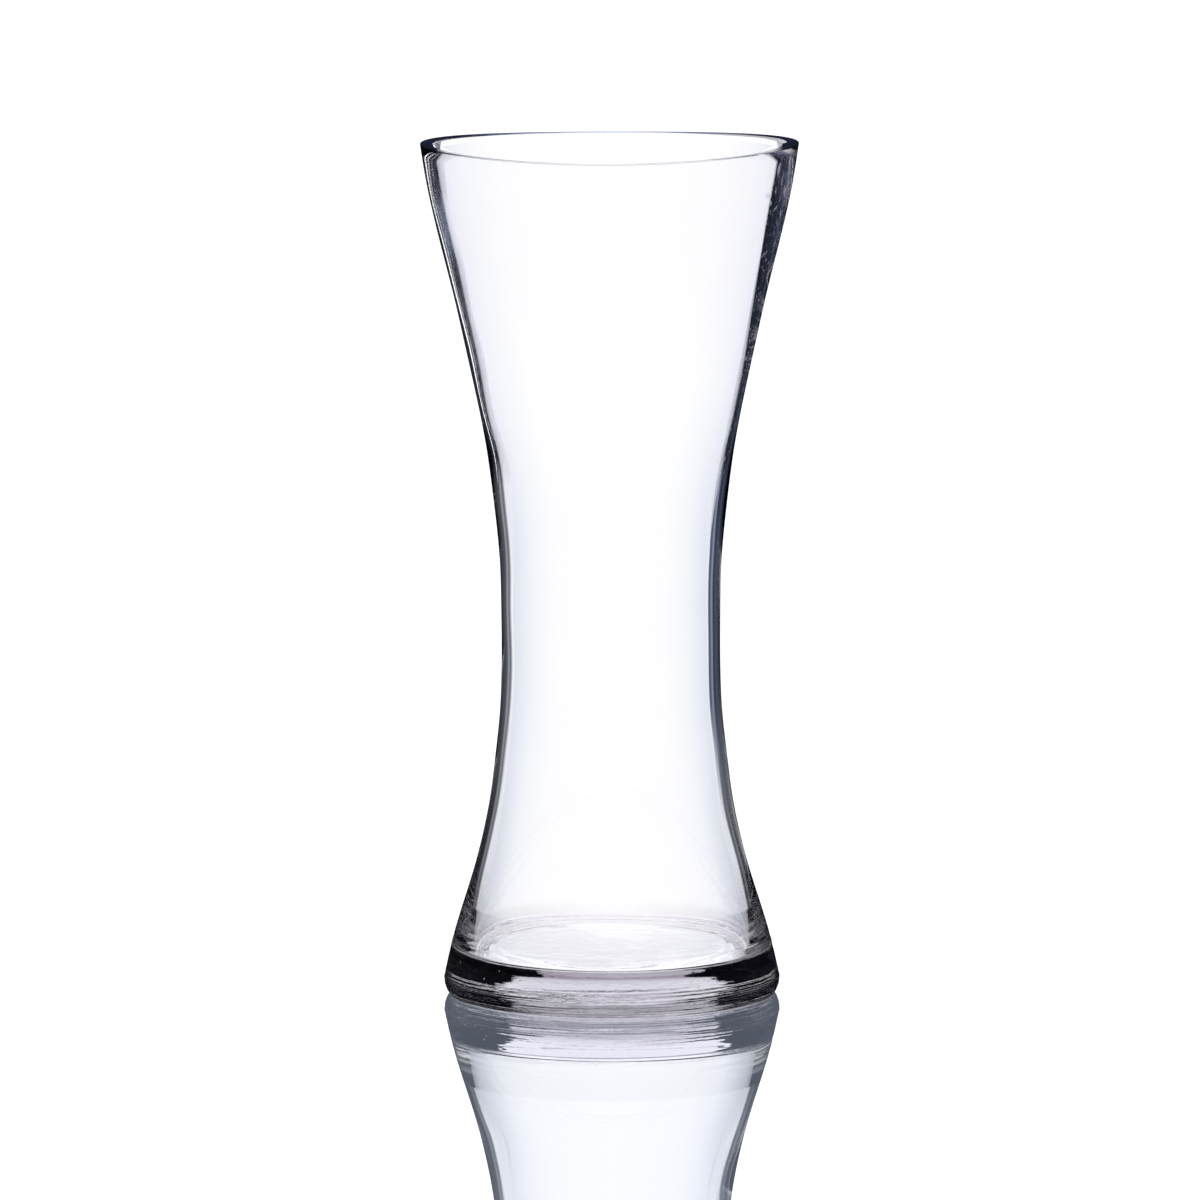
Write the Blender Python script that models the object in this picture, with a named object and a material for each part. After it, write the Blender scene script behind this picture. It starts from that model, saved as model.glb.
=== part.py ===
"""A clear glass flower vase, 9 in tall with a 4 in mouth, turned from one wall section.

The section starts on the axis under the base, runs out along the foot, round the heel, up the waisted
outside, over the rim and down the inside to the floor of the cavity, and is spun once round +Z.
The origin is on the axis in the plane that the foot ring stands on. Metres, +Z up.
"""

import math

import bmesh
import bpy

# Driving dimensions, in metres.
HEIGHT = 0.229
MOUTH_RADIUS = 0.0506
WAIST_RADIUS = 0.02945
WAIST_LOW = 0.086  # the waist is a plain cylinder between these two heights
WAIST_HIGH = 0.108
HEEL_RADIUS = 0.0452  # the widest part of the foot
HEEL_HEIGHT = 0.0045
FOOT_OUTER_RADIUS = 0.0428  # the flat ring that the vase stands on
FOOT_INNER_RADIUS = 0.0370
RECESS_DEPTH = 0.0008  # the base is hollowed a little inside the foot ring
RECESS_EDGE = 0.0008
RIM_ROUND = 0.0009  # radius of the polished edges of the rim
RIM_WALL = 0.0040
FLOOR_HEIGHT = 0.0108  # top of the solid base, on the axis
FLOOR_CORNER_START = 0.0358  # where the flat floor begins to curve up into the wall
FLOOR_CORNER_TOP = 0.0126  # height at which it has become the wall

# How finely the section is cut into points and the spin into steps.
SPIN_STEPS = 64
OUTSIDE_POINTS = 21
INSIDE_POINTS = 18
CORNER_POINTS = 5
RIM_POINTS = 3

# Outside of the body: height, radius and slope (change of radius with height).
OUTSIDE = (
    (HEEL_HEIGHT, HEEL_RADIUS, -0.06),
    (0.016, 0.0425, -0.28),
    (0.034, 0.0370, -0.28),
    (0.060, 0.0317, -0.11),
    (WAIST_LOW, WAIST_RADIUS, 0.0),
    (WAIST_HIGH, WAIST_RADIUS, 0.0),
    (0.140, 0.0321, 0.12),
    (0.180, 0.0398, 0.21),
    (HEIGHT, MOUTH_RADIUS, 0.12),
)

# Thickness of the glass, measured level: height, thickness and slope.
WALL = (
    (FLOOR_CORNER_TOP, 0.0053, -0.19),
    (0.036, 0.00275, 0.0),
    (0.060, 0.0032, 0.0),
    (0.120, 0.0033, 0.0),
    (0.154, 0.0020, 0.0),
    (0.214, 0.0042, 0.01),
    (HEIGHT, RIM_WALL, -0.02),
)


def along(stations, height):
    """Value at a height on the smooth curve through stations of (height, value, slope)."""
    for (low, start, leaving), (high, end, arriving) in zip(stations, stations[1:]):
        if height <= high:
            break
    span = high - low
    t = (height - low) / span
    return (
        start * (2 * t**3 - 3 * t**2 + 1)
        + leaving * span * (t**3 - 2 * t**2 + t)
        + end * (3 * t**2 - 2 * t**3)
        + arriving * span * (t**3 - t**2)
    )


def quarter(centre, across, up, start, end, points):
    """Points on an ellipse about centre, from the angle start to the angle end in degrees."""
    angles = (math.radians(start + (end - start) * i / points) for i in range(points + 1))
    return [(centre[0] + across * math.cos(a), centre[1] + up * math.sin(a)) for a in angles]


def between(low, high, points):
    """Evenly spaced values strictly between low and high."""
    return [low + (high - low) * (i + 1) / (points + 1) for i in range(points)]


def foot():
    """Shallow recess, foot ring and rounded heel, from the axis outwards."""
    recess = [(0.0, RECESS_DEPTH), (FOOT_INNER_RADIUS - RECESS_EDGE, RECESS_DEPTH), (FOOT_INNER_RADIUS, 0.0)]
    across = HEEL_RADIUS - FOOT_OUTER_RADIUS
    heel = quarter((FOOT_OUTER_RADIUS, HEEL_HEIGHT), across, HEEL_HEIGHT, -90, 0, CORNER_POINTS)
    return recess + heel


def outside():
    """The waisted outside, from above the heel to just under the rim."""
    heights = between(HEEL_HEIGHT, HEIGHT - RIM_ROUND, OUTSIDE_POINTS)
    return [(along(OUTSIDE, z), z) for z in heights]


def rim():
    """Flat top with a rounded edge on each side."""
    z = HEIGHT - RIM_ROUND
    outer = (along(OUTSIDE, z) - RIM_ROUND, z)
    inner = (along(OUTSIDE, z) - RIM_WALL + RIM_ROUND, z)
    outer_edge = quarter(outer, RIM_ROUND, RIM_ROUND, 0, 90, RIM_POINTS)
    inner_edge = quarter(inner, RIM_ROUND, RIM_ROUND, 90, 180, RIM_POINTS)
    return outer_edge + inner_edge


def inside_radius(z):
    return along(OUTSIDE, z) - along(WALL, z)


def inside():
    """The wall of the cavity, from under the rim down to the floor's corner."""
    heights = between(FLOOR_CORNER_TOP, HEIGHT - RIM_ROUND, INSIDE_POINTS)
    return [(inside_radius(z), z) for z in reversed(heights)]


def floor():
    """Rounded corner and flat floor, inwards to the axis."""
    across = inside_radius(FLOOR_CORNER_TOP) - FLOOR_CORNER_START
    up = FLOOR_CORNER_TOP - FLOOR_HEIGHT
    corner = quarter((FLOOR_CORNER_START, FLOOR_CORNER_TOP), across, up, 0, -90, CORNER_POINTS)
    return corner + [(0.0, FLOOR_HEIGHT)]


def turned(name, section):
    """Closed solid made by spinning a section of (radius, height) points once round +Z."""
    shape = bmesh.new()
    points = [shape.verts.new((radius, 0.0, height)) for radius, height in section]
    edges = [shape.edges.new(pair) for pair in zip(points, points[1:])]
    bmesh.ops.spin(
        shape,
        geom=points + edges,
        axis=(0, 0, 1),
        cent=(0, 0, 0),
        angle=2 * math.pi,
        steps=SPIN_STEPS,
        use_merge=True,
    )
    bmesh.ops.remove_doubles(shape, verts=shape.verts, dist=1e-6)
    bmesh.ops.recalc_face_normals(shape, faces=shape.faces)
    mesh = bpy.data.meshes.new(name)
    shape.to_mesh(mesh)
    shape.free()
    mesh.shade_smooth()
    mesh.set_sharp_from_angle(angle=math.radians(40))
    return bpy.data.objects.new(name, mesh)


def clear_glass():
    """Colourless soda-lime glass with a faint cool tint."""
    material = bpy.data.materials.new("clear_glass")
    material.use_nodes = True
    shader = material.node_tree.nodes["Principled BSDF"]
    shader.inputs["Base Color"].default_value = (0.93, 0.95, 0.97, 1.0)
    shader.inputs["Roughness"].default_value = 0.02
    shader.inputs["Metallic"].default_value = 0.0
    shader.inputs["IOR"].default_value = 1.52
    shader.inputs["Transmission Weight"].default_value = 1.0
    return material


def glass_vase():
    """The whole vase: one piece of glass."""
    vase = turned("glass_vase", foot() + outside() + rim() + inside() + floor())
    vase.data.materials.append(clear_glass())
    bpy.context.scene.collection.objects.link(vase)


def clear_scene():
    for item in list(bpy.data.objects):
        bpy.data.objects.remove(item, do_unlink=True)


clear_scene()
glass_vase()
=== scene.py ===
"""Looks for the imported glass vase: its fine glass mesh, its clear glass and the studio round it.

The studio looks plain and white to the camera. To rays that come through or off the glass its shader gives
light by their direction and path, which draws the dark edges and bright lines of a glass photographer's set.
"""

import math

import bpy
import numpy as np
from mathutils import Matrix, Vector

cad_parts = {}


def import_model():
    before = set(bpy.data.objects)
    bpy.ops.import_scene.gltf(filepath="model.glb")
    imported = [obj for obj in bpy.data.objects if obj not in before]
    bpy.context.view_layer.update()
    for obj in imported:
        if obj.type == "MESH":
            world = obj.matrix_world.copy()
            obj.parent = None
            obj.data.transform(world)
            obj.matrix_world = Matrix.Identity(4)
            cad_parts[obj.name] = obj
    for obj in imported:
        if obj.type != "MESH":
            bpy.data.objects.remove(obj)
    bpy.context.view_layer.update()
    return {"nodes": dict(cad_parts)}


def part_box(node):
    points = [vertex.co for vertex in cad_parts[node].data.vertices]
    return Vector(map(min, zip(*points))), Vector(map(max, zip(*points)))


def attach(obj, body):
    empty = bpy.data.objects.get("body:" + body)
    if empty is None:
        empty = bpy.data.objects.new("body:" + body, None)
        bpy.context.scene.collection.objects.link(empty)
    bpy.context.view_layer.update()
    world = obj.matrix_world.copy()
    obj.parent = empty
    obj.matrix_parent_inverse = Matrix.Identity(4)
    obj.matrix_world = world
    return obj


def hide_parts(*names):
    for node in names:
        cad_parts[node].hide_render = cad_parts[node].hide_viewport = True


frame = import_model()

MM = 0.001
NODE = "glass_vase"
LOW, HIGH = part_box(NODE)
HEIGHT = HIGH.z - LOW.z

# Foot, heel and floor of the vase.
RECESS_DEPTH = 0.8 * MM
RECESS_RADIUS = 36.2 * MM
FOOT_INNER_RADIUS = 37.0 * MM
FOOT_OUTER_RADIUS = 42.8 * MM
HEEL_HEIGHT = 4.5 * MM
FLOOR_HEIGHT = 10.8 * MM
CORNER_RADIUS = 35.8 * MM
CORNER_HEIGHT = 12.6 * MM
FLOOR_GROOVES = ((31.4 * MM, 0.05 * MM), (33.8 * MM, 0.04 * MM))  # radius and depth
GROOVE_HALF_WIDTH = 0.6 * MM
CORNER_RIPPLE = 0.045 * MM
CORNER_ARC = 5 * MM  # turns an angle round the floor's corner into a length for its waves

# Rim, which falls a little towards the inside and rises and falls a little all round.
RIM_OUTER_ROUND = 0.25 * MM
RIM_INNER_DROP = 0.6 * MM
RIM_SADDLE = 0.68 * MM
SADDLE_START = 0.75 * HEIGHT
OUTER_TOP = HEIGHT - RIM_OUTER_ROUND
INNER_TOP = HEIGHT - RIM_INNER_DROP

# Wall thickness up the vase: height, thickness and slope.
WALL = (
    (CORNER_HEIGHT, 5.3 * MM, -0.19),
    (36.0 * MM, 2.75 * MM, 0.0),
    (60.0 * MM, 3.2 * MM, 0.0),
    (120.0 * MM, 3.3 * MM, 0.0),
    (154.0 * MM, 2.0 * MM, 0.0),
    (214.0 * MM, 4.2 * MM, 0.01),
    (HEIGHT, 4.0 * MM, -0.02),
)
# How much thicker the wall is at +X than on average.
LEAN = (
    (CORNER_HEIGHT, 0.0, 0.0),
    (100.0 * MM, 0.12 * MM, 0.0),
    (165.0 * MM, -0.25 * MM, 0.0),
    (210.0 * MM, 0.5 * MM, 0.0),
    (HEIGHT, 0.5 * MM, 0.0),
)

# Marks of the mould: two joint lines round the heel, two seams, and chill wrinkles.
JOINT_HEIGHTS = (2.5 * MM, 6.5 * MM)
JOINT_HALF_WIDTH = 0.22 * MM
JOINT_RISE = 0.035 * MM
SEAM_ANGLES = (math.radians(89), math.radians(-89))
SEAM_HALF_WIDTH = 0.35 * MM
SEAM_RISE = 0.03 * MM
SEAM_RADIUS = 40 * MM  # turns an angle from a seam into a width
SEAM_ABOVE_FOOT = 0.3  # share of a seam's rise that is left away from the joint lines
EVEN_COLUMNS = 208
SEAM_COLUMNS = 5  # extra columns on each side of a seam
SEAM_STEP = 0.28  # degrees between the extra columns
WRINKLE_TOP = 7.0 * MM
WRINKLE_FADE = 3.0 * MM
WRINKLES_LEFT = 0.07  # share of the wrinkles that goes on above the foot
RINGS_START = (8 * MM, 11 * MM)
RINGS_END = (15 * MM, 19 * MM)

# How many steps each stretch of the section is cut into.
RECESS_STEPS = 11
RECESS_EDGE_STEPS = 6
FOOT_STEPS = 5
HEEL_STEPS = 45
LOW_WALL_STEPS = 63
WALL_STEPS = 83
RIM_OUTER_STEPS = 8
RIM_INNER_STEPS = 16
INSIDE_STEPS = 91
CORNER_STEPS = 39
FLOOR_RING_STEPS = 47
FLOOR_STEPS = 11
LOW_WALL_TOP = 20 * MM
HEEL_MARKS = (math.radians(-85), math.radians(-60))  # where the mould's marks begin on the heel
AXIS_GAP = 1 * MM  # radius of the small fans that close the mesh on the axis
FLOOR_RINGS = (28 * MM, 27 * MM)  # where the floor's closer rows end and its wider rows begin

# Glass: height of the scuffs on the foot ring, where the chill marks fade, and the tint of its cords.
WORN_HEIGHT = 0.3 * MM
CHILL_FADE = (8.5 * MM, 6.0 * MM)
CORD_TINT = (0.985, 0.988, 1.0, 1)

# Waves in the surfaces: seed, how many, shortest and longest length up the wall, most turns, and size.
WRINKLES = (11, 10, (0.5 * MM, 2.0 * MM), 4, 0.028 * MM)
SLOW_WAVES = (12, 6, (20 * MM, 60 * MM), 5, 0.010 * MM)
RING_WAVES = (13, 5, (2.0 * MM, 4.5 * MM), 1, 0.025 * MM)
INSIDE_WAVES = (21, 6, (22 * MM, 60 * MM), 4, 0.05 * MM)
CORNER_WAVES = (31, 4, (2 * MM, 5 * MM), 7, 0.006 * MM)

# Bubbles trapped in the glass. Each is a small ball, with rings of corners at these latitudes in degrees.
SEED_RINGS = (-90, -54, -18, 18, 54, 90)
SEED_SIDES = 10
# Their places: angle in degrees, radius, height and size.
SEEDS = (
    (-160, 42.0 * MM, 10.3 * MM, 0.22 * MM),
    (-134.6, 42.0 * MM, 10.6 * MM, 0.20 * MM),
    (-141.6, 42.8 * MM, 8.0 * MM, 0.24 * MM),
    (-140.0, 43.0 * MM, 6.8 * MM, 0.16 * MM),
    (-152.8, 43.3 * MM, 5.1 * MM, 0.26 * MM),
    (-145.6, 43.3 * MM, 4.6 * MM, 0.18 * MM),
    (-178.0, 30.1 * MM, 135.4 * MM, 0.30 * MM),
    (-177.0, 29.9 * MM, 133.5 * MM, 0.26 * MM),
    (-57.0, 40.5 * MM, 6.0 * MM, 0.18 * MM),
    (-171.0, 47.4 * MM, 213.0 * MM, 0.2 * MM),
)


def along(stations, heights):
    """Values at heights on the smooth curve through stations of (height, value, slope)."""
    s = np.array(stations)
    i = np.clip(np.searchsorted(s[:, 0], heights) - 1, 0, len(s) - 2)
    span = s[i + 1, 0] - s[i, 0]
    t = (heights - s[i, 0]) / span
    return (
        s[i, 1] * (2 * t**3 - 3 * t**2 + 1)
        + s[i, 2] * span * (t**3 - 2 * t**2 + t)
        + s[i + 1, 1] * (3 * t**2 - 2 * t**3)
        + s[i + 1, 2] * span * (t**3 - t**2)
    )


def smooth_step(x, start, end):
    t = np.clip((x - start) / (end - start), 0, 1)
    return t * t * (3 - 2 * t)


def spline(x, y):
    """Natural cubic spline through the points, as a function."""
    n = len(x)
    h = np.diff(x)
    m = np.eye(n)
    v = np.zeros(n)
    for i in range(1, n - 1):
        m[i, i - 1 : i + 2] = h[i - 1], 2 * (h[i - 1] + h[i]), h[i]
        v[i] = 6 * ((y[i + 1] - y[i]) / h[i] - (y[i] - y[i - 1]) / h[i - 1])
    k = np.linalg.solve(m, v)

    def at(q):
        i = np.clip(np.searchsorted(x, q) - 1, 0, n - 2)
        a, b = x[i + 1] - q, q - x[i]
        return (
            (k[i] * a**3 + k[i + 1] * b**3) / (6 * h[i])
            + (y[i] / h[i] - k[i] * h[i] / 6) * a
            + (y[i + 1] / h[i] - k[i + 1] * h[i] / 6) * b
        )

    return at


def cad_outline():
    """Radius of the outside wall by height: a smooth curve through the CAD node's corners at +X."""
    mesh = frame["nodes"][NODE].data
    found = {}
    for face in mesh.polygons:
        if face.normal.x < 0.5:
            continue
        for index in face.vertices:
            point = mesh.vertices[index].co
            on_section = point.x > 0 and abs(point.y) < 0.01 * MM
            if on_section and HEEL_HEIGHT - 0.01 * MM < point.z < HEIGHT - 0.5 * MM:
                height = round(point.z, 6)
                found[height] = max(point.x, found.get(height, 0.0))
    heights = np.array(sorted(found))
    return spline(heights, np.array([found[z] for z in heights]))


outer_curve = cad_outline()


def column_angles():
    """Angles of the mesh's columns, evenly round the vase and closer together at the mould seams."""
    even = np.arange(EVEN_COLUMNS) * 2 * math.pi / EVEN_COLUMNS - math.pi
    steps = range(-SEAM_COLUMNS, SEAM_COLUMNS + 1)
    fine = [seam + math.radians(step * SEAM_STEP) for seam in SEAM_ANGLES for step in steps]
    return np.unique(np.round(np.concatenate([even, fine]), 9))


THETA = column_angles()
COLUMNS = len(THETA)


def waves(heights, seed, count, length, turns, size):
    """Sum of shallow waves round the vase, each with its own length up the wall, slant and phase."""
    rng = np.random.default_rng(seed)
    total = np.zeros(COLUMNS)
    for _ in range(count):
        rise = 2 * math.pi / rng.uniform(*length)
        turn = rng.integers(-turns, turns + 1)
        total = total + np.sin(rise * heights + turn * THETA + rng.uniform(0, 2 * math.pi))
    return size * total / math.sqrt(count)


def mould_marks(z):
    """Rise of the outside surface at height z, all round: joint lines, seams and chill wrinkles."""
    joints = sum(np.exp(-(((z - height) / JOINT_HALF_WIDTH) ** 2)) for height in JOINT_HEIGHTS)
    seams = np.zeros(COLUMNS)
    for angle in SEAM_ANGLES:
        seams += np.exp(-((np.abs(THETA - angle) * SEAM_RADIUS / SEAM_HALF_WIDTH) ** 2))
    seams *= SEAM_ABOVE_FOOT + (1 - SEAM_ABOVE_FOOT) * joints
    above = smooth_step(z, WRINKLE_TOP - WRINKLE_FADE / 2, WRINKLE_TOP + WRINKLE_FADE / 2)
    wrinkles = (1 - (1 - WRINKLES_LEFT) * above) * waves(z, *WRINKLES)
    ring_share = smooth_step(z, *RINGS_START) * (1 - smooth_step(z, *RINGS_END))
    slow = waves(z, *SLOW_WAVES) + ring_share * waves(z, *RING_WAVES)
    uneven = 0.7 + 0.3 * np.sin(9 * THETA)
    return JOINT_RISE * joints * uneven + SEAM_RISE * seams + wrinkles + slow


def underside_rows():
    """Recess under the base, its edge and the flat foot ring, from the axis outwards."""
    rows = [(r, RECESS_DEPTH) for r in np.linspace(AXIS_GAP, RECESS_RADIUS, RECESS_STEPS + 1)]
    for t in np.linspace(0, 1, RECESS_EDGE_STEPS + 1)[1:]:
        r = RECESS_RADIUS + (FOOT_INNER_RADIUS - RECESS_RADIUS) * t
        rows.append((r, RECESS_DEPTH * (1 - smooth_step(t, 0, 1))))
    rows += [(r, 0.0) for r in np.linspace(FOOT_INNER_RADIUS, FOOT_OUTER_RADIUS, FOOT_STEPS + 1)[1:]]
    return rows


def heel_rows():
    """Rounded heel, from the foot ring up to the wall."""
    across = outer_curve(np.array([HEEL_HEIGHT]))[0] - FOOT_OUTER_RADIUS
    rows = []
    for a in np.radians(np.linspace(-90, 0, HEEL_STEPS + 1))[1:-1]:
        z = HEEL_HEIGHT * (1 + math.sin(a))
        rise = mould_marks(z) * smooth_step(a, *HEEL_MARKS)
        rows.append((FOOT_OUTER_RADIUS + (across + rise) * math.cos(a), z + rise * math.sin(a)))
    return rows


def outside_rows():
    """Outside wall, with closer rows near the foot."""
    near_foot = np.linspace(HEEL_HEIGHT, LOW_WALL_TOP, LOW_WALL_STEPS + 1)[:-1]
    above = np.linspace(LOW_WALL_TOP, OUTER_TOP, WALL_STEPS + 1)
    heights = np.concatenate([near_foot, above])
    return [(outer_curve(np.array([z]))[0] + mould_marks(z), z) for z in heights]


def inner_radius(z):
    """Radius of the cavity all round at height z, thinner or thicker by the wall's lean and its waves."""
    radius = outer_curve(np.array([z]))[0] - along(WALL, np.array([z]))[0]
    radius = radius - along(LEAN, np.array([z]))[0] * np.cos(THETA)
    return radius + waves(z, *INSIDE_WAVES)


def rim_rows():
    """Top of the rim: it turns sharply at the outside and falls gently into the inside."""
    crest = outer_curve(np.array([OUTER_TOP]))[0] + mould_marks(OUTER_TOP) - RIM_OUTER_ROUND
    reach = crest - inner_radius(INNER_TOP)
    rows = []
    for a in np.radians(np.linspace(0, 90, RIM_OUTER_STEPS + 1))[1:]:
        rows.append((crest + RIM_OUTER_ROUND * math.cos(a), OUTER_TOP + RIM_OUTER_ROUND * math.sin(a)))
    for a in np.radians(np.linspace(90, 180, RIM_INNER_STEPS + 1))[1:-1]:
        rows.append((crest + reach * math.cos(a), INNER_TOP + RIM_INNER_DROP * math.sin(a)))
    return rows


def inside_rows():
    """Wall of the cavity, from under the rim down to the floor's corner."""
    return [(inner_radius(z), z) for z in np.linspace(INNER_TOP, CORNER_HEIGHT, INSIDE_STEPS + 1)]


def floor_rows():
    """Corner where the wall turns into the floor, with the pressed ripples round it, then the floor."""
    wall = inner_radius(CORNER_HEIGHT)
    drop = CORNER_HEIGHT - FLOOR_HEIGHT
    rows = []
    for a in np.radians(np.linspace(0, -90, CORNER_STEPS + 1))[1:]:
        ripple = CORNER_RIPPLE * math.sin(8.5 * a) * math.sin(-a)
        ripple = ripple + waves(a * CORNER_ARC, *CORNER_WAVES)
        reach = wall - CORNER_RADIUS + ripple
        rows.append((CORNER_RADIUS + reach * math.cos(a), CORNER_HEIGHT + (drop + ripple) * math.sin(a)))
    ringed = np.linspace(CORNER_RADIUS, FLOOR_RINGS[0], FLOOR_RING_STEPS + 1)[1:]
    plain = np.linspace(FLOOR_RINGS[1], AXIS_GAP, FLOOR_STEPS + 1)
    for r in np.concatenate([ringed, plain]):
        groove = sum(depth * math.exp(-(((r - at) / GROOVE_HALF_WIDTH) ** 2)) for at, depth in FLOOR_GROOVES)
        rows.append((r, FLOOR_HEIGHT - groove))
    return rows


def seeds():
    """Corners and faces of the small bubbles in the glass, with their faces turned inwards."""
    points, faces = [], []
    turns = np.radians(np.arange(SEED_SIDES) * 360 / SEED_SIDES)
    for angle, radius, height, size in SEEDS:
        aim = math.radians(angle)
        centre = np.array([radius * math.cos(aim), radius * math.sin(aim), height])
        start = len(points)
        for up in np.radians(SEED_RINGS):
            for turn in turns:
                spot = (math.cos(up) * math.cos(turn), math.cos(up) * math.sin(turn), math.sin(up))
                points.append((centre + size * np.array(spot)).tolist())
        for row in range(len(SEED_RINGS) - 1):
            ring = start + SEED_SIDES * row
            for k in range(SEED_SIDES):
                a, b = ring + k, ring + (k + 1) % SEED_SIDES
                faces.append((a, a + SEED_SIDES, b + SEED_SIDES, b))
    return points, faces


def grid_points(rows):
    """Corners of the rings, then one on the axis under the base and one on the axis in the floor."""
    r = np.array([np.broadcast_to(row[0], COLUMNS) for row in rows])
    z = np.array([np.broadcast_to(row[1], COLUMNS) for row in rows])
    lift = np.clip((z - SADDLE_START) / (HEIGHT - SADDLE_START), 0, 1) ** 2
    z = z + RIM_SADDLE * np.cos(2 * THETA) * lift
    points = np.stack([r * np.cos(THETA), r * np.sin(THETA), z], axis=-1).reshape(-1, 3)
    return np.vstack([points, [0, 0, z[0].mean()], [0, 0, z[-1].mean()]])


def grid_faces(rings):
    """Faces between neighbouring rings, and the two fans that close the mesh on the axis."""
    first, last = rings * COLUMNS, rings * COLUMNS + 1
    end = (rings - 1) * COLUMNS
    faces = []
    for j in range(COLUMNS):
        k = (j + 1) % COLUMNS
        for start in range(0, end, COLUMNS):
            above = start + COLUMNS
            faces.append((start + j, start + k, above + k, above + j))
        faces.append((first, k, j))
        faces.append((last, end + j, end + k))
    return faces


def glass_mesh():
    """Closed mesh from the underside round to the floor of the cavity, with the bubbles inside its glass."""
    rows = underside_rows() + heel_rows() + outside_rows() + rim_rows() + inside_rows() + floor_rows()
    points = grid_points(rows)
    faces = grid_faces(len(rows))
    seed_points, seed_faces = seeds()
    faces += [tuple(len(points) + index for index in face) for face in seed_faces]
    mesh = bpy.data.meshes.new("vase_glass")
    mesh.from_pydata(points.tolist() + seed_points, [], faces)
    mesh.validate()
    mesh.shade_smooth()
    return mesh


class Nodes:
    """Shorthand for adding nodes to one new material."""

    def __init__(self, name):
        self.material = bpy.data.materials.new(name)
        self.material.use_nodes = True
        self.tree = self.material.node_tree
        self.tree.nodes.clear()

    def add(self, kind, inputs=(), **values):
        """A node of this kind, with its attributes set and its inputs, by name, linked or set."""
        node = self.tree.nodes.new("ShaderNode" + kind)
        for key, value in values.items():
            setattr(node, key, value)
        for key, value in dict(inputs).items():
            self.feed(node.inputs[key], value)
        return node

    def feed(self, socket, value):
        if isinstance(value, bpy.types.NodeSocket):
            self.tree.links.new(value, socket)
        else:
            socket.default_value = value

    def math(self, operation, *values):
        return self.add("Math", enumerate(values), operation=operation).outputs[0]

    def vector(self, operation, *values):
        return self.add("VectorMath", enumerate(values), operation=operation).outputs[0]

    def scale(self, vector, factor):
        return self.add("VectorMath", {"Vector": vector, "Scale": factor}, operation="SCALE").outputs[0]

    def times(self, first, second):
        mix = self.add("Mix", {0: 1.0, 6: first, 7: second}, data_type="RGBA", blend_type="MULTIPLY")
        return mix.outputs[2]

    def split(self, vector):
        return self.add("SeparateXYZ", {0: vector}).outputs

    def span(self, value, start, end, low=0.0, high=1.0):
        """Value carried from start..end to low..high, and held beyond."""
        return self.add("MapRange", {0: value, 1: start, 2: end, 3: low, 4: high}).outputs[0]

    def either(self, share, first, second):
        return self.add("Mix", {0: share, 6: first, 7: second}, data_type="RGBA").outputs[2]

    def ramp(self, value, stops, scale):
        """Colour by value, through stops of (value, colour); scale keeps bright colours in a ramp's range."""
        start, end = stops[0][0], stops[-1][0]
        node = self.add("ValToRGB", {0: self.span(value, start, end)})
        elements = node.color_ramp.elements
        elements.remove(elements[1])
        for number, (at, colour) in enumerate(stops):
            place = (at - start) / (end - start)
            item = elements[0] if number == 0 else elements.new(place)
            item.position = place
            item.color = (*(c / scale for c in colour), 1)
        return node.outputs[0]


def glass_material():
    """Clear glass with faint cords, chill marks near the foot and scuffs on the foot ring."""
    n = Nodes("clear_glass")
    place = n.add("TexCoord").outputs["Object"]
    height = n.split(place)[2]
    cords = n.add("TexNoise", {"Vector": place, "Scale": 60.0, "Detail": 2.0}).outputs[0]
    scuffs = n.add("TexNoise", {"Vector": place, "Scale": 2500.0, "Detail": 2.0}).outputs[0]
    worn = n.math("MULTIPLY", n.span(height, WORN_HEIGHT, 0.0), scuffs)
    tint = n.either(cords, CORD_TINT, (1, 1, 1, 1))
    soft = n.add("Bump", {"Strength": 0.15, "Distance": 0.02 * MM, "Height": cords}).outputs[0]
    squeezed = n.vector("MULTIPLY", place, (1.0, 1.0, 5.0))
    chill = n.add("TexNoise", {"Vector": squeezed, "Scale": 350.0, "Detail": 3.0}).outputs[0]
    chilled = n.math("MULTIPLY", chill, n.span(height, *CHILL_FADE))
    chilled_bump = {"Strength": 1.0, "Distance": 0.03 * MM, "Height": chilled, "Normal": soft}
    bump = n.add("Bump", chilled_bump)
    glass = n.add(
        "BsdfPrincipled",
        {
            "Base Color": tint,
            "Roughness": n.math("MULTIPLY", worn, 0.5),
            "IOR": 1.52,
            "Transmission Weight": 1.0,
            "Normal": bump.outputs[0],
        },
    )
    body = n.add("VolumeAbsorption", {"Color": (0.75, 0.72, 0.78, 1), "Density": 12.0})
    n.add("OutputMaterial", {"Surface": glass.outputs[0], "Volume": body.outputs[0]})
    return n.material


def vase():
    """The fine vase, in place of the CAD node."""
    piece = bpy.data.objects.new("vase_glass", glass_mesh())
    bpy.context.scene.collection.objects.link(piece)
    piece.data.materials.append(glass_material())
    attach(piece, "root")
    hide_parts(NODE)


# Camera, at the height and distance that give the picture's view of the rim and the foot.
CAMERA_DISTANCE = 2.7
CAMERA_RISE = 0.087
CAMERA_PITCH = math.radians(7.54)
CAMERA_ROLL = math.radians(0.17)
CAMERA_YAW = math.radians(0.039)
CAMERA_LENS = 304.4
SENSOR = 36

# Studio: a surround that turns with the camera, and a mirror-like pale floor.
SURROUND_RADIUS = 6.0
SURROUND_STEPS = 128
SURROUND_HEIGHT = 40.0
FLOOR_SIDE = 40.0
FLOOR_DROP = 0.05 * MM
FLOOR_MIRROR = (0.88, 0.88, 0.88, 1)
FLOOR_GLOW = (0.080, 0.092, 0.118, 1)
BOUNCES = 24
BRIGHTEST = 4.1
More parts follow.
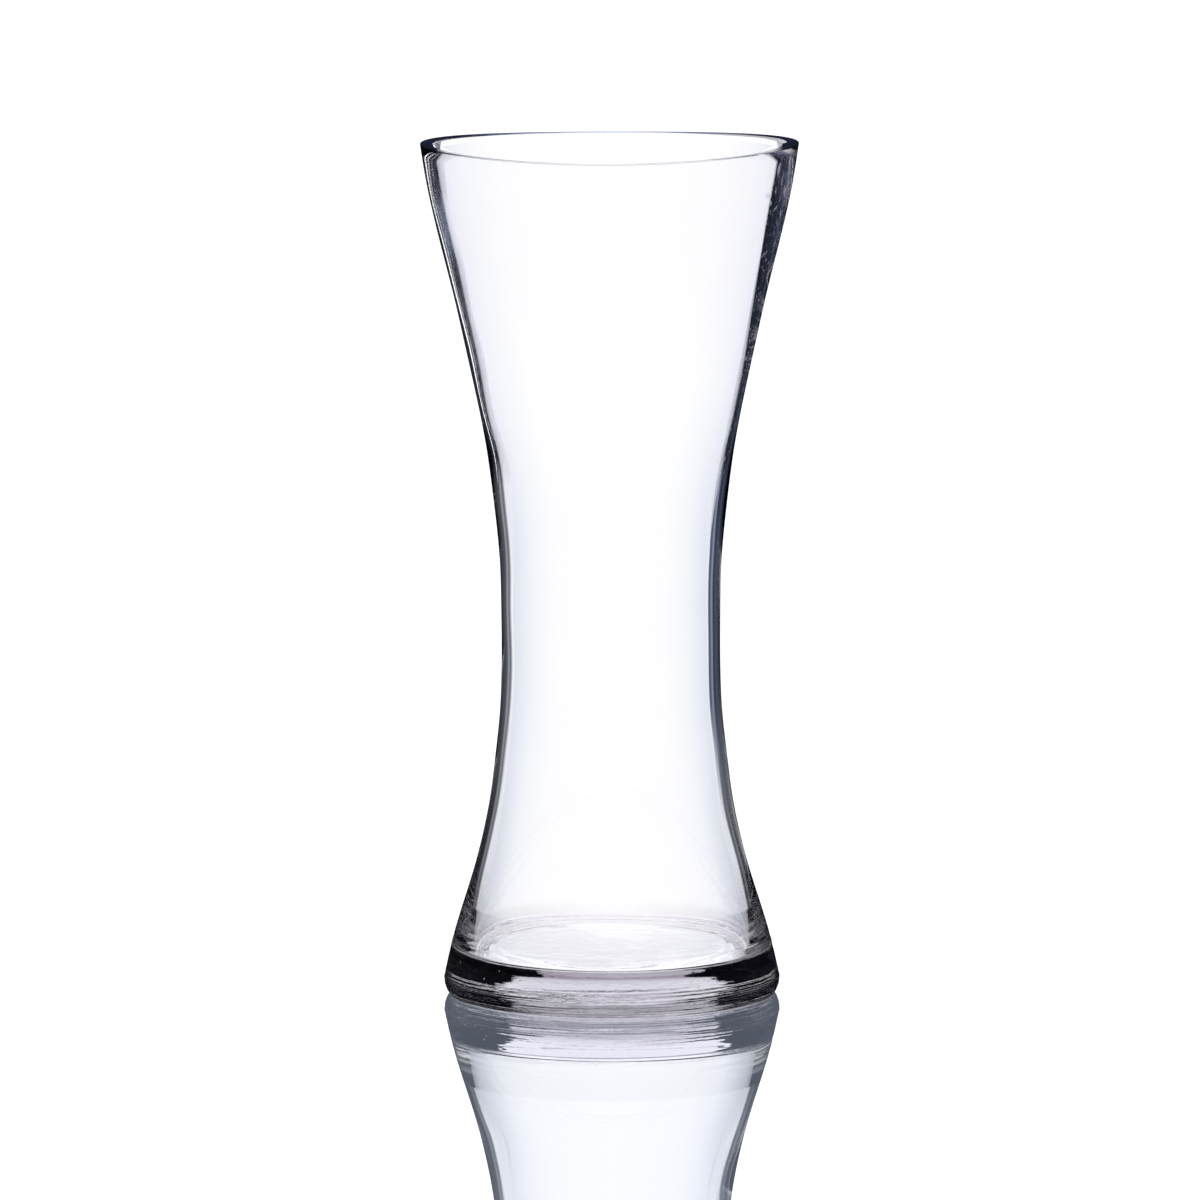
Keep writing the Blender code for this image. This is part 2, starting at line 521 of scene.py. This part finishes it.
# Where a ray leaves the vase: the base, the glass at the floor's corner, the upper wall or the rim.
BASE_TOP = 11 * MM
CORNER_TOP = 24 * MM
UPPER_WALL_START = 146 * MM
UPPER_WALL_FADE = 8 * MM
GLANCED_RIM = HEIGHT - 1.5 * MM
SEEN_RIM = HEIGHT - 0.6 * MM
LIT_RIM_RADIUS = 47.3 * MM
VASE_REACH = 60 * MM
ABOVE_FLOOR = 0.2 * MM
WALL_SHARES = (0.905, 0.88)  # share of the radius where the wall begins to hide the inside, high and low
# How a ray came: more passes through a surface than this, or more mirrorings.
THROUGH_GLASS = 0.5
THROUGH_CAVITY = 2.5
TWICE_MIRRORED = 1.5

BACKDROP = (1.25, 1.25, 1.25)
DARK = (0.004, 0.004, 0.006)
LEFT_TINT = (0.74, 0.88, 1.38)
RIGHT_TINT = (0.70, 0.87, 1.43)
GREY_TINT = (0.90, 0.97, 1.13)
# Brightness by angle from straight behind the vase, for rays that glance off the glass.
GLANCE_LIGHT = ((-90, 0.04), (-40, 0.05), (-30, 0.03), (-6, 0.02), (6, 0.015), (90, 0.03))
# The same, inside the edge of the wall: round the foot, at the waist and above it.
FOOT_WALL = (
    (-90, 0.01),
    (-60, 0.01),
    (-56, 1.1),
    (-38, 1.1),
    (-36, 0.5),
    (-33.5, 0.10),
    (-31, 0.27),
    (-26.5, 0.24),
    (-25, 0.04),
    (-5, 0.014),
    (0, 0.03),
    (4, 0.7),
    (8, 0.9),
    (12, 0.6),
    (15, 0.08),
    (24.5, 0.03),
    (26, 0.24),
    (30, 0.27),
    (33.5, 0.06),
    (36, 0.25),
    (38.5, 1.1),
    (56, 1.1),
    (60, 0.01),
    (90, 0.01),
)
WAIST_WALL = (
    (-90, 0.02),
    (-60, 0.02),
    (-56, 1.12),
    (-42, 1.12),
    (-39.5, 0.55),
    (-36.5, 0.20),
    (-34, 0.20),
    (-32.5, 0.38),
    (-28, 0.42),
    (-26.5, 0.14),
    (-20, 0.11),
    (-12, 0.085),
    (-2, 0.05),
    (4, 0.05),
    (12, 0.075),
    (21, 0.14),
    (27, 0.06),
    (31, 0.08),
    (33, 0.38),
    (36.5, 0.33),
    (38.5, 0.13),
    (42.5, 0.17),
    (44.5, 1.12),
    (56, 1.12),
    (60, 0.02),
    (90, 0.02),
)
UPPER_WALL = (
    (-90, 0.02),
    (-60, 0.02),
    (-56, 0.95),
    (-42, 0.95),
    (-39, 0.50),
    (-36.5, 0.22),
    (-30, 0.27),
    (-24, 0.33),
    (-21, 0.27),
    (-19.5, 0.10),
    (-15.2, 0.05),
    (-14.4, 2.8),
    (-11.4, 2.8),
    (-10.6, 0.05),
    (1, 0.035),
    (6, 0.065),
    (14, 0.05),
    (17, 0.14),
    (20, 0.07),
    (23, 0.025),
    (31, 0.02),
    (33, 0.035),
    (35.5, 0.015),
    (42, 0.02),
    (43, 1.0),
    (56, 1.0),
    (60, 0.02),
    (90, 0.02),
)
# Below, four numbers carry a value from the first two to the last two; two numbers carry it to 0 and 1.
SLANT_HEIGHTS = (214 * MM, 150 * MM, 0.0, 14.0)
SLANT_INNER = (-32.0, -22.0)
SLANT_OUTER = (0.0, -4.0)
PALE_WALL_HEIGHT = 208 * MM
PALE_WALL_FADE = (4 * MM, 10 * MM, 0.0, 0.55)
LEFT_STREAKS = (0.62, 0.45, 0.0, 0.35)
LEFT_WALL = (-17.0, -19.0)
SWIRL_STRETCH = (1.0, 1.0, 0.6)
SWIRLS = {"Scale": 220.0, "Detail": 4.0, "Distortion": 3.0}
SWIRL_LIGHT = (0.34, 0.33, 0.42)
SWIRL_EDGE = (0.60, 0.66)
SWIRL_SIDE = (0.0, 3.0)
RIM_SWIRLS = (210 * MM, 215 * MM, 0.0, 0.13)
RIM_SWIRL_SIDE = (22.0, 14.0)
FOOT_TO_WAIST = (42 * MM, 80 * MM)
FOOT_SHADE = (15 * MM, 38 * MM, 0.3, 1.0)
# Light across the inside, by how far off the axis the ray leaves.
INSIDE_LOW = (
    (0.0, (1.09, 1.09, 1.09)),
    (0.48, (1.07, 1.07, 1.075)),
    (0.60, (1.04, 1.045, 1.06)),
    (0.71, (0.98, 1.0, 1.03)),
    (0.80, (0.91, 0.94, 1.0)),
    (0.86, (0.86, 0.90, 0.98)),
    (0.90, (0.84, 0.88, 0.97)),
    (0.93, (1.0, 1.02, 1.08)),
    (0.945, (1.0, 1.02, 1.08)),
    (0.955, DARK),
    (1.0, DARK),
)
INSIDE_HIGH = (
    (0.0, (1.09, 1.09, 1.09)),
    (0.60, (1.075, 1.075, 1.08)),
    (0.75, (1.04, 1.045, 1.06)),
    (0.86, (1.02, 1.03, 1.08)),
    (0.90, (0.99, 1.0, 1.10)),
    (0.945, (0.99, 1.0, 1.10)),
    (0.955, DARK),
    (1.0, DARK),
)
HIGH_TO_LOW = (165 * MM, 120 * MM)
# How much the inside is dimmed: across by the share of the radius, and up by the height.
INSIDE_DIMMING = (
    ((0.72, 0.92), (60 * MM, 18 * MM, 0.0, 0.28)),
    ((0.1, 0.9), (18 * MM, BASE_TOP, 0.0, 0.22)),
)
FLOOR_DIMMING = (BASE_TOP, 16 * MM, 0.98, 1.0)
# Light through the solid base, by angle, and how it changes with the angle of climb.
BASE_LIGHT = (
    (-90, DARK),
    (-29.0, DARK),
    (-28.5, (0.87, 0.88, 0.92)),
    (26.5, (0.87, 0.88, 0.92)),
    (27.0, DARK),
    (90, DARK),
)
BASE_BANDS = (
    (-60, (1.15, 1.13, 1.15)),
    (-22, (1.20, 1.19, 1.21)),
    (-16, (0.8, 0.8, 0.82)),
    (-12, (1.25, 1.25, 1.25)),
    (-4, (1.25, 1.25, 1.25)),
    (-1, (0.6, 0.6, 0.62)),
    (2.5, (0.6, 0.6, 0.62)),
    (5, (1.08, 1.08, 1.08)),
    (9.5, (1.08, 1.08, 1.08)),
    (13, (0.55, 0.55, 0.57)),
    (17, (1.1, 1.1, 1.1)),
    (20, (0.5, 0.5, 0.52)),
    (26, (1.15, 1.15, 1.15)),
    (60, (1.15, 1.15, 1.15)),
)
STEEP_LIGHT = (1.06, 1.02, 1.05)
STEEP_FROM = (26.0, 32.0)
FLOOR_LIGHT = (1.0, 1.01, 1.05)
# Painted shade: where a ray leaves the solid base between the edge band's heights, its light is dimmed to
# about half and turned lilac.
LILAC_SHADE = (0.53, 0.46, 0.51, 1)
EDGE_BAND_START = (4.5 * MM, 5.5 * MM)
EDGE_BAND_END = (8.4 * MM, 7.0 * MM)
PANEL_SQUEEZE = (1.0, 1.6)
PANEL_SPREAD = (9 * MM, 10.5 * MM, 1.0, 0.8)
LINE_STRETCH = (1.0, 1.0, 16.0)
LINES = {"Scale": 55.0, "Detail": 4.0}
LINE_LEVELS = (0.40, 0.56, 0.45, 1.1)
LINE_TOP = (5 * MM, 7.5 * MM, 0.0, 1.1)
LINE_STEEPNESS = (25.0, 35.0)
WOBBLE = {"Scale": 70.0, "Detail": 2.0}
WOBBLE_SIZE = (0.3, 0.7, -0.5 * MM, 0.5 * MM)
# Streaks in the glass round the floor's corner, by the height at which the ray leaves.
STREAKS = (
    (BASE_TOP, 0.03),
    (11.8 * MM, 0.9),
    (12.4 * MM, 0.02),
    (13.2 * MM, 1.0),
    (13.7 * MM, 0.03),
    (15.0 * MM, 0.9),
    (15.5 * MM, 0.02),
    (17.0 * MM, 0.55),
    (17.6 * MM, 0.015),
    (19.5 * MM, 0.25),
    (20.2 * MM, 0.01),
    (CORNER_TOP, 0.01),
)
# Light on the rim.
RIM_NAVY = (0.60, 0.75, 1.60)
RIM_FADE = (40 * MM, 0.0, 0.04, 0.5)
LIT_RIM = (1.1, 1.1, 1.15, 1)
FRONT_RIM = (0.85, 0.88, 0.96, 1)
DARK_RIM = (0.018, 0.023, 0.045, 1)
RIM_END = (43 * MM, 46 * MM)
BACK_TO_FRONT = (2 * MM, -1 * MM)


def shaded(stops, left=(1, 1, 1), right=(1, 1, 1)):
    """Ramp stops for levels of brightness; the darker a level, the nearer to its side's tint."""
    colours = []
    for at, level in stops:
        white = min(1, level)
        colours.append((at, tuple(level * (t + (1 - t) * white) for t in (left if at < 0 else right))))
    return colours


def fixed(colour):
    """A colour in the range that the ramps use."""
    return (*(c / BRIGHTEST for c in colour), 1)


def sum_of_squares(n, first, second):
    return n.math("ADD", n.math("MULTIPLY", first, first), n.math("MULTIPLY", second, second))


def opposite(n, share):
    return n.math("SUBTRACT", 1.0, share)


class Ray:
    """What the studio knows of a ray: its direction, where it left the vase and how it came."""

    def __init__(self, n):
        path = n.add("LightPath").outputs
        geometry = n.add("NewGeometry").outputs
        turned = {"vector_type": "VECTOR", "convert_from": "WORLD", "convert_to": "OBJECT"}
        incoming = n.add("VectorTransform", {0: geometry["Incoming"]}, **turned).outputs[0]
        x, y, z = n.split(n.scale(incoming, -1.0))
        self.degrees = n.math("MULTIPLY", n.math("ARCTAN2", x, y), 180 / math.pi)
        self.climb = n.math("MULTIPLY", n.math("ARCSINE", z), 180 / math.pi)
        self.steepness = n.math("ABSOLUTE", self.climb)
        way_back = n.scale(geometry["Incoming"], path["Ray Length"])
        self.left_at = n.vector("ADD", geometry["Position"], way_back)
        turned["vector_type"] = "POINT"
        left_at = n.add("VectorTransform", {0: self.left_at}, **turned).outputs[0]
        from_x, self.from_y, self.height = n.split(left_at)
        self.aside = n.math("ABSOLUTE", from_x)

        # How far off its axis the ray leaves the vase, as a share of the radius there.
        flat = n.math("SQRT", sum_of_squares(n, x, y))
        turn = n.math("SUBTRACT", n.math("MULTIPLY", from_x, y), n.math("MULTIPLY", self.from_y, x))
        self.radius = n.math("SQRT", sum_of_squares(n, from_x, self.from_y))
        self.off_axis = n.math("DIVIDE", n.math("ABSOLUTE", turn), n.math("MULTIPLY", flat, self.radius))

        # Whether it came through the glass, through the cavity, through the base or only off the glass.
        through = path["Transmission Depth"]
        self.glass = n.math("GREATER_THAN", through, THROUGH_GLASS)
        self.low = n.span(self.height, UPPER_WALL_START, UPPER_WALL_START - UPPER_WALL_FADE)
        share = n.span(self.low, 0.0, 1.0, *WALL_SHARES)
        central = n.math("MULTIPLY", self.glass, n.math("LESS_THAN", self.off_axis, share))
        self.inside = n.math("MAXIMUM", n.math("GREATER_THAN", through, THROUGH_CAVITY), central)
        solid = n.math("MULTIPLY", self.glass, n.math("LESS_THAN", through, THROUGH_CAVITY))
        self.solid = n.math("MULTIPLY", solid, n.math("LESS_THAN", self.height, CORNER_TOP))
        self.base = n.math("MULTIPLY", self.glass, n.math("LESS_THAN", self.height, BASE_TOP))
        near_vase = n.math("LESS_THAN", self.radius, VASE_REACH)
        near_vase = n.math("MULTIPLY", near_vase, n.math("GREATER_THAN", self.height, ABOVE_FLOOR))
        mirrored = n.math("GREATER_THAN", path["Glossy Depth"], TWICE_MIRRORED)
        self.glanced = n.math("MAXIMUM", near_vase, mirrored)
        rim_from = n.span(self.glass, 0.0, 1.0, GLANCED_RIM, SEEN_RIM)
        rim = n.math("MULTIPLY", n.math("GREATER_THAN", self.height, rim_from), near_vase)
        self.rim = n.math("MULTIPLY", rim, opposite(n, self.inside))


def by_angle(n, stops, angle, left, right):
    """Tinted light by angle in degrees from straight behind the vase."""
    return n.ramp(angle, shaded(stops, left, right), BRIGHTEST)


def upper_wall_light(n, ray):
    """Dark wall above the waist: a slanting bright line at the left and pale swirls at the right."""
    slant = n.math("MULTIPLY", n.span(ray.height, *SLANT_HEIGHTS), n.span(ray.degrees, *SLANT_INNER))
    slant = n.math("MULTIPLY", slant, n.span(ray.degrees, *SLANT_OUTER))
    slanted = n.math("ADD", ray.degrees, slant)
    light = by_angle(n, UPPER_WALL, slanted, LEFT_TINT, RIGHT_TINT)
    place = n.vector("MULTIPLY", ray.left_at, SWIRL_STRETCH)
    swirls = n.add("TexNoise", {"Vector": place, **SWIRLS}).outputs[0]
    away = n.math("ABSOLUTE", n.math("SUBTRACT", ray.height, PALE_WALL_HEIGHT))
    dimming = n.math("ADD", n.span(away, *PALE_WALL_FADE), n.span(swirls, *LEFT_STREAKS))
    dimming = n.math("MULTIPLY", n.span(slanted, *LEFT_WALL), dimming)
    light = n.scale(light, opposite(n, dimming))
    near_rim = n.math("MULTIPLY", n.span(ray.height, *RIM_SWIRLS), n.span(ray.degrees, *RIM_SWIRL_SIDE))
    swirls = n.span(n.math("ADD", swirls, near_rim), *SWIRL_EDGE)
    swirls = n.math("MULTIPLY", swirls, n.span(ray.degrees, *SWIRL_SIDE))
    return n.either(swirls, light, fixed(SWIRL_LIGHT))


def wall_light(n, ray):
    """Light through the edge of the wall, and off its surface."""
    foot_wall = by_angle(n, FOOT_WALL, ray.degrees, GREY_TINT, GREY_TINT)
    waist_wall = by_angle(n, WAIST_WALL, ray.degrees, GREY_TINT, RIGHT_TINT)
    low_wall = n.either(n.span(ray.height, *FOOT_TO_WAIST), foot_wall, waist_wall)
    shade = n.span(ray.height, *FOOT_SHADE)
    wall = n.scale(n.either(ray.low, upper_wall_light(n, ray), low_wall), shade)
    off_glass = n.scale(by_angle(n, GLANCE_LIGHT, ray.degrees, GREY_TINT, RIGHT_TINT), shade)
    missed = n.either(ray.glanced, fixed(BACKDROP), off_glass)
    return n.either(ray.glass, missed, wall)


def inside_light(n, ray):
    """Light across the cavity, dimmer at its sides and towards the floor."""
    high = n.ramp(ray.off_axis, INSIDE_HIGH, BRIGHTEST)
    low = n.ramp(ray.off_axis, INSIDE_LOW, BRIGHTEST)
    centre = n.either(n.span(ray.height, *HIGH_TO_LOW), high, low)
    for across, up in INSIDE_DIMMING:
        side = n.math("MULTIPLY", n.span(ray.off_axis, *across), n.span(ray.height, *up))
        centre = n.scale(centre, opposite(n, side))
    return n.scale(centre, n.span(ray.height, *FLOOR_DIMMING))


def base_light(n, ray):
    """Light through the solid base: a bright panel between black sides, with bands and fine level lines."""
    edge_band = n.math("MULTIPLY", n.span(ray.height, *EDGE_BAND_START), n.span(ray.height, *EDGE_BAND_END))
    panel = n.math("MULTIPLY", ray.degrees, n.span(edge_band, 0.0, 1.0, *PANEL_SQUEEZE))
    panel = n.math("MULTIPLY", panel, n.span(ray.height, *PANEL_SPREAD))
    light = n.either(ray.solid, fixed(FLOOR_LIGHT), n.ramp(panel, BASE_LIGHT, BRIGHTEST))
    light = n.times(light, n.ramp(ray.climb, BASE_BANDS, 1.0))
    place = n.vector("MULTIPLY", ray.left_at, LINE_STRETCH)
    lines = n.add("TexNoise", {"Vector": place, **LINES}).outputs[0]
    lines = n.math("MAXIMUM", n.span(lines, *LINE_LEVELS), n.span(ray.height, *LINE_TOP))
    unlined = n.math("MAXIMUM", opposite(n, ray.solid), n.span(ray.steepness, *LINE_STEEPNESS))
    light = n.scale(light, n.math("MAXIMUM", lines, unlined))
    # Painted shade: a dimmer lilac band in the light through the base, for rays that leave it at the edge
    # band's heights.
    lilac_shade = n.either(n.math("MULTIPLY", edge_band, ray.solid), (1, 1, 1, 1), LILAC_SHADE)
    light = n.times(light, lilac_shade)
    steep = n.math("MULTIPLY", n.span(ray.steepness, *STEEP_FROM), opposite(n, ray.solid))
    return n.either(steep, light, fixed(STEEP_LIGHT))


def corner_light(n, ray):
    """Bright streaks in the solid glass round the floor's corner."""
    wobble = n.add("TexNoise", {"Vector": ray.left_at, **WOBBLE}).outputs[0]
    height = n.math("ADD", ray.height, n.span(wobble, *WOBBLE_SIZE))
    return n.ramp(height, shaded(STREAKS), BRIGHTEST)


def rim_light(n, ray):
    """Navy line along the back of the rim, light inside it and at the front, dark at the ends."""
    back = n.scale(RIM_NAVY, n.span(ray.aside, *RIM_FADE))
    back = n.either(n.math("LESS_THAN", ray.radius, LIT_RIM_RADIUS), back, LIT_RIM)
    front = n.either(n.span(ray.aside, *RIM_END), FRONT_RIM, DARK_RIM)
    light = n.either(n.span(ray.from_y, *BACK_TO_FRONT), back, front)
    return n.scale(light, 1 / BRIGHTEST)


def studio_light(n):
    """Light that a ray meets, by its direction and by the way it came through the glass."""
    ray = Ray(n)
    seen = n.either(ray.inside, wall_light(n, ray), inside_light(n, ray))
    seen = n.either(n.math("MAXIMUM", ray.base, ray.solid), seen, base_light(n, ray))
    streaked = n.math("MULTIPLY", ray.solid, n.math("GREATER_THAN", ray.height, BASE_TOP))
    seen = n.either(streaked, seen, corner_light(n, ray))
    return n.either(ray.rim, seen, rim_light(n, ray))


def emitted(n, colour, strength):
    return n.add("Emission", {"Color": colour, "Strength": strength}).outputs[0]


def staged(name, points, faces, material):
    """A piece of the studio, which is no part of the vase."""
    mesh = bpy.data.meshes.new(name)
    mesh.from_pydata(points, [], faces)
    obj = bpy.data.objects.new(name, mesh)
    obj.data.materials.append(material)
    bpy.context.scene.collection.objects.link(obj)
    return obj


def surround_material():
    """Wall of light."""
    n = Nodes("surround")
    n.add("OutputMaterial", {"Surface": emitted(n, studio_light(n), BRIGHTEST)})
    n.material.cycles.emission_sampling = "NONE"
    return n.material


def floor_material():
    """Mirror that glows faintly to the camera; a ray from the glass meets the studio's light instead."""
    n = Nodes("floor")
    mirror = n.add("BsdfGlossy", {"Color": FLOOR_MIRROR, "Roughness": 0.0})
    glow = emitted(n, FLOOR_GLOW, n.add("LightPath").outputs["Is Camera Ray"])
    open_floor = n.add("AddShader", {0: glow, 1: mirror.outputs[0]}).outputs[0]
    glass = n.math("GREATER_THAN", n.add("LightPath").outputs["Transmission Depth"], THROUGH_GLASS)
    lit = emitted(n, studio_light(n), BRIGHTEST)
    n.add("OutputMaterial", {0: n.add("MixShader", {0: glass, 1: open_floor, 2: lit}).outputs[0]})
    n.material.cycles.emission_sampling = "NONE"
    return n.material


def surround():
    """Open cylinder that stands round the vase and the camera."""
    steps = SURROUND_STEPS
    points = []
    for z in (0.0, SURROUND_HEIGHT):
        for step in range(steps):
            angle = 2 * math.pi * step / steps
            points.append((SURROUND_RADIUS * math.cos(angle), SURROUND_RADIUS * math.sin(angle), z))
    faces = [(i, (i + 1) % steps, steps + (i + 1) % steps, steps + i) for i in range(steps)]
    return staged("surround", points, faces, surround_material())


def floor():
    half = FLOOR_SIDE / 2
    corners = [(x * half, y * half, -FLOOR_DROP) for x, y in ((-1, -1), (1, -1), (1, 1), (-1, 1))]
    return staged("floor", corners, [(0, 1, 2, 3)], floor_material())


def camera():
    obj = bpy.data.objects.new("camera", bpy.data.cameras.new("camera"))
    bpy.context.scene.collection.objects.link(obj)
    bpy.context.scene.camera = obj
    obj.location = (0, -CAMERA_DISTANCE, HEIGHT + CAMERA_DISTANCE * CAMERA_RISE)
    obj.rotation_euler = (math.pi / 2 - CAMERA_PITCH, CAMERA_ROLL, CAMERA_YAW)
    obj.data.sensor_width = SENSOR
    obj.data.lens = CAMERA_LENS
    obj.data.clip_start = 0.1
    obj.data.clip_end = 50
    return obj


def turntable(watched, *parts):
    """Empty that turns the surround and the floor with the camera, so that every view has the same light."""
    empty = bpy.data.objects.new("turntable", None)
    bpy.context.scene.collection.objects.link(empty)
    turn = empty.constraints.new("LOCKED_TRACK")
    turn.target = watched
    turn.track_axis = "TRACK_NEGATIVE_Y"
    turn.lock_axis = "LOCK_Z"
    for part in parts:
        part.parent = empty


def world():
    """Bright sky above the surround, dark for rays from inside the glass."""
    sky = bpy.data.worlds.new("world")
    bpy.context.scene.world = sky
    sky.use_nodes = True
    tree = sky.node_tree
    path = tree.nodes.new("ShaderNodeLightPath")
    strength = tree.nodes.new("ShaderNodeMapRange")
    strength.inputs["To Min"].default_value = BACKDROP[0]
    strength.inputs["To Max"].default_value = DARK[0]
    tree.links.new(path.outputs["Transmission Depth"], strength.inputs["Value"])
    tree.nodes["Background"].inputs["Color"].default_value = (1, 1, 1, 1)
    tree.links.new(strength.outputs[0], tree.nodes["Background"].inputs["Strength"])


def look():
    """Plain colours, and enough bounces for light to get out of the glass."""
    scene = bpy.context.scene
    scene.view_settings.view_transform = "Standard"
    scene.view_settings.look = "None"
    scene.cycles.max_bounces = BOUNCES
    scene.cycles.transmission_bounces = BOUNCES
    scene.cycles.glossy_bounces = BOUNCES
    scene.cycles.sample_clamp_indirect = 0.0


vase()
turntable(camera(), surround(), floor())
world()
look()
